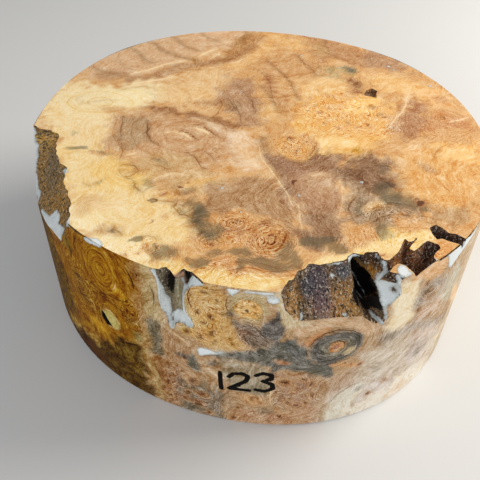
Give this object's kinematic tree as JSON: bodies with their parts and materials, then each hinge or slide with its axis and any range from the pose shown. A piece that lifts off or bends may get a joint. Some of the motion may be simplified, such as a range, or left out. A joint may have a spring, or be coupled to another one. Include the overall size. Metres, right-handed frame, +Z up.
{
  "type": "maple burl bowl turning blank",
  "caption": "Round sawn blank of maple burl, flat on both faces, with natural bark-lined voids along its rim and a waxed wall.",
  "frame": {"origin": "centre of the sawn underside", "axes": "+Z up through the thickness, -Y towards the side with the big bark void, +X to its right"},
  "size_m": [0.2002, 0.1978, 0.082],
  "materials": {
    "burl_wood": "sawn burl sealed with a thin coat of wax, soft sheen"
  },
  "bodies": {
    "root": {"burl_blank": "burl_wood"}
  },
  "joints": []
}
